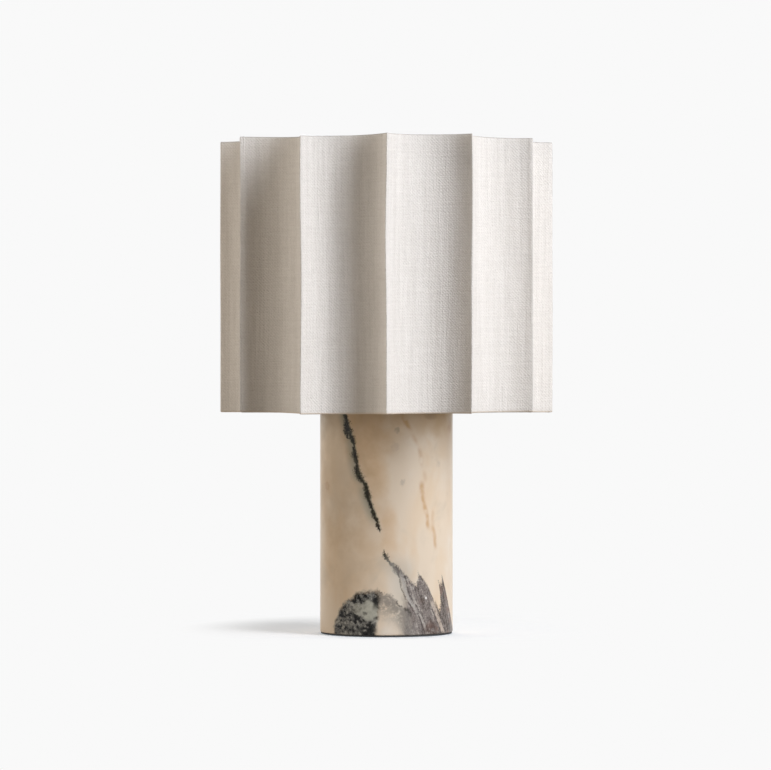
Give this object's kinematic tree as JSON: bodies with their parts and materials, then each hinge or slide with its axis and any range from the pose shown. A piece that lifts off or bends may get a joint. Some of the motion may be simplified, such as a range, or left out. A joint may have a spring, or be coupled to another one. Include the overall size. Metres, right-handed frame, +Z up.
{
  "type": "rechargeable table lamp",
  "caption": "Cordless table lamp: a fluted drum shade of linen on a wire spider above a polished marble column that holds the battery, charging port and push switch.",
  "frame": {"origin": "centre of the foot pad's underside, on the table", "axes": "+Z up along the column's axis, +Y towards the charging port at the rear, -Y towards the front ridge of the shade"},
  "size_m": [0.216, 0.216, 0.318],
  "materials": {
    "linen": "woven, matt",
    "liner_white": "matt sheet",
    "marble": "polished",
    "rubber_black": "matt",
    "steel": "zinc plated",
    "brass": "satin",
    "holder_black": "moulded",
    "cell_wrap": "shrink wrap",
    "nickel": "plated",
    "board_green": "solder mask",
    "chip_black": "moulded",
    "connector_white": "moulded",
    "lead_red": "insulation",
    "lead_white": "insulation",
    "bezel_black": "fine texture",
    "lens_clear": "clear",
    "head_white": "powder coat",
    "core_aluminium": "extruded",
    "strip_white": "solder mask",
    "emitter_yellow": "phosphor",
    "opal": "frosted",
    "nylon": "turned",
    "frame_wire": "white enamel"
  },
  "bodies": {
    "base": {"foot_pad": "rubber_black", "marble_column": "marble", "threaded_inserts": "brass", "base_plate": "steel", "base_plate_screws": "steel", "battery_holder": "holder_black", "battery_cells": "cell_wrap", "battery_contacts": "nickel", "control_board": "board_green", "board_screws": "steel", "board_components": "chip_black", "wire_connectors": "connector_white", "port_lead": "lead_white", "battery_lead": "lead_red", "led_lead": "lead_white", "port_bezel": "bezel_black", "port_board": "board_green", "usb_socket": "nickel", "usb_tongue": "chip_black", "indicator_chip": "emitter_yellow", "indicator_lens": "lens_clear", "tact_switch": "chip_black", "stem_tube": "steel", "stem_washer": "steel", "stem_nut": "steel", "column_cap": "brass", "stem_collar": "brass", "light_dish": "head_white", "terminal_block": "connector_white", "light_core": "core_aluminium", "light_strips": "strip_white", "light_chips": "emitter_yellow", "opal_sleeve": "opal", "light_lid": "head_white", "shade_stud": "steel", "seat_nut": "steel"},
    "button": {"power_button": "brass", "switch_plunger": "nylon"},
    "shade_seat": {"seat_washer": "nylon"},
    "shade": {"shade_linen": "linen", "shade_liner": "liner_white", "top_ring": "frame_wire", "bottom_ring": "frame_wire", "spider_hub": "frame_wire", "spider_arms": "frame_wire"},
    "finial_washer": {"finial_washer": "nylon"},
    "finial": {"finial": "brass"}
  },
  "joints": [
    {"name": "button_press", "type": "slide", "parent": "base", "child": "button", "axis": [0, -1, 0], "range_m": [0, 0.0008], "stiffness_N_per_m": 400},
    {"name": "shade_turn", "type": "hinge", "parent": "base", "child": "shade_seat", "pos_m": [0, 0, 0.27325], "axis": [0, 0, 1], "continuous": true},
    {"name": "shade_lift", "type": "slide", "parent": "shade_seat", "child": "shade", "axis": [0, 0, 1], "range_m": [0, 0.17]},
    {"name": "finial_rise", "type": "slide", "parent": "shade", "child": "finial_washer", "axis": [0, 0, 1], "range_m": [0, 0.01312]},
    {"name": "finial_turn", "type": "hinge", "parent": "finial_washer", "child": "finial", "pos_m": [0, 0, 0.2892], "axis": [0, 0, 1], "range_deg": [0, 3781]}
  ],
  "couplings": [
    {"joint": "finial_turn", "follows": "finial_rise", "rad_per_m": 5026.5}
  ]
}
